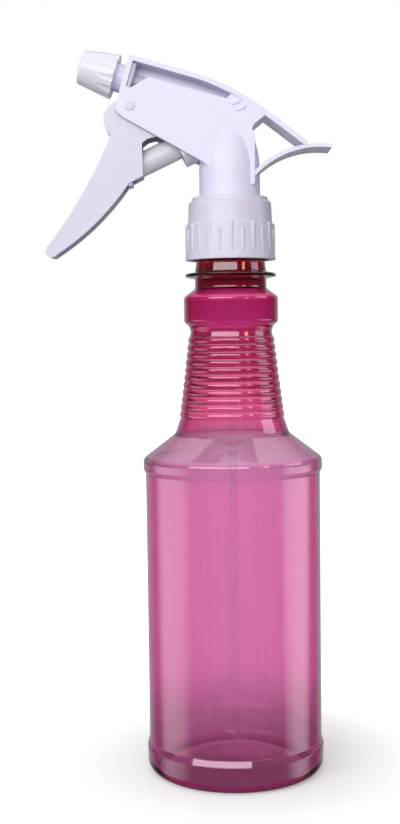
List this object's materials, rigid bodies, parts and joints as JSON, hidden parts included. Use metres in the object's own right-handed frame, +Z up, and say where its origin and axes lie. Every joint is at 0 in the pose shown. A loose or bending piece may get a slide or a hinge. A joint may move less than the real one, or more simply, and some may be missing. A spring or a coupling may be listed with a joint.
{
  "type": "trigger spray bottle",
  "caption": "Trigger spray bottle with a tinted see-through body, ribbed grip neck, screw collar, white pump head, trigger and adjustable nozzle.",
  "frame": {"origin": "centre of the bottle's standing ring, on the plane it stands on", "axes": "+Z up along the bottle, -X the way the nozzle sprays, +Y the head's side"},
  "size_m": [0.1036, 0.0656, 0.2635],
  "materials": {
    "tinted_wall": "gloss",
    "white_shell": "satin",
    "white_cap": "gloss",
    "white_pump": "satin",
    "clear_tube": "satin",
    "gasket": "matte",
    "seal": "satin",
    "steel": "polished"
  },
  "bodies": {
    "bottle": {"bottle": "tinted_wall"},
    "neck_seal": {"neck_gasket": "gasket"},
    "collar": {"collar": "white_shell"},
    "sprayer": {"sprayer_body": "white_shell", "pump_cylinder": "white_pump", "tube_connector": "white_pump", "dip_tube": "clear_tube", "spinner": "white_pump", "outlet_spring": "steel", "return_spring": "steel"},
    "trigger": {"trigger": "white_shell"},
    "piston": {"piston": "white_pump", "piston_wiper_seal": "seal", "piston_cup_seal": "seal"},
    "inlet_ball": {"inlet_ball": "steel"},
    "outlet_ball": {"outlet_ball": "steel"},
    "nozzle_seal": {"nozzle_seal": "gasket"},
    "nozzle": {"nozzle_cap": "white_cap"}
  },
  "joints": [
    {"name": "head_lift", "type": "slide", "parent": "bottle", "child": "neck_seal", "axis": [0, 0, 1], "range_m": [0, 0.00635]},
    {"name": "collar_turn", "type": "hinge", "parent": "neck_seal", "child": "collar", "pos_m": [0, 0, 0.2], "axis": [0, 0, 1], "range_deg": [0, 540.2]},
    {"name": "head_swivel", "type": "hinge", "parent": "neck_seal", "child": "sprayer", "pos_m": [0, 0, 0.205], "axis": [0, 0, 1], "continuous": true},
    {"name": "trigger_pull", "type": "hinge", "parent": "sprayer", "child": "trigger", "pos_m": [-0.0355, 0, 0.2424], "axis": [0, -1, 0], "range_deg": [0, 20.05]},
    {"name": "piston_stroke", "type": "slide", "parent": "sprayer", "child": "piston", "axis": [0.9063, 0, 0.4226], "range_m": [0, 0.00683], "stiffness_N_per_m": 900, "springref_m": -0.005, "deforming": ["return_spring"]},
    {"name": "inlet_ball_lift", "type": "slide", "parent": "sprayer", "child": "inlet_ball", "axis": [0, 0, 1], "range_m": [0, 0.0012]},
    {"name": "outlet_ball_lift", "type": "slide", "parent": "sprayer", "child": "outlet_ball", "axis": [-0.9563, 0, 0.2924], "range_m": [0, 0.001], "stiffness_N_per_m": 20, "springref_m": -0.001, "deforming": ["outlet_spring"]},
    {"name": "nozzle_advance", "type": "slide", "parent": "sprayer", "child": "nozzle_seal", "axis": [-0.9563, 0, 0.2924], "range_m": [-0.00125, 0.0025]},
    {"name": "nozzle_turn", "type": "hinge", "parent": "nozzle_seal", "child": "nozzle", "pos_m": [-0.0375, 0, 0.253], "axis": [-0.9563, 0, 0.2924], "range_deg": [-180.2, 360.2]}
  ],
  "couplings": [
    {"joint": "collar_turn", "follows": "head_lift", "rad_per_m": 1484.2},
    {"joint": "trigger_pull", "follows": "piston_stroke", "rad_per_m": 51.108},
    {"joint": "nozzle_turn", "follows": "nozzle_advance", "rad_per_m": 2513.3}
  ]
}
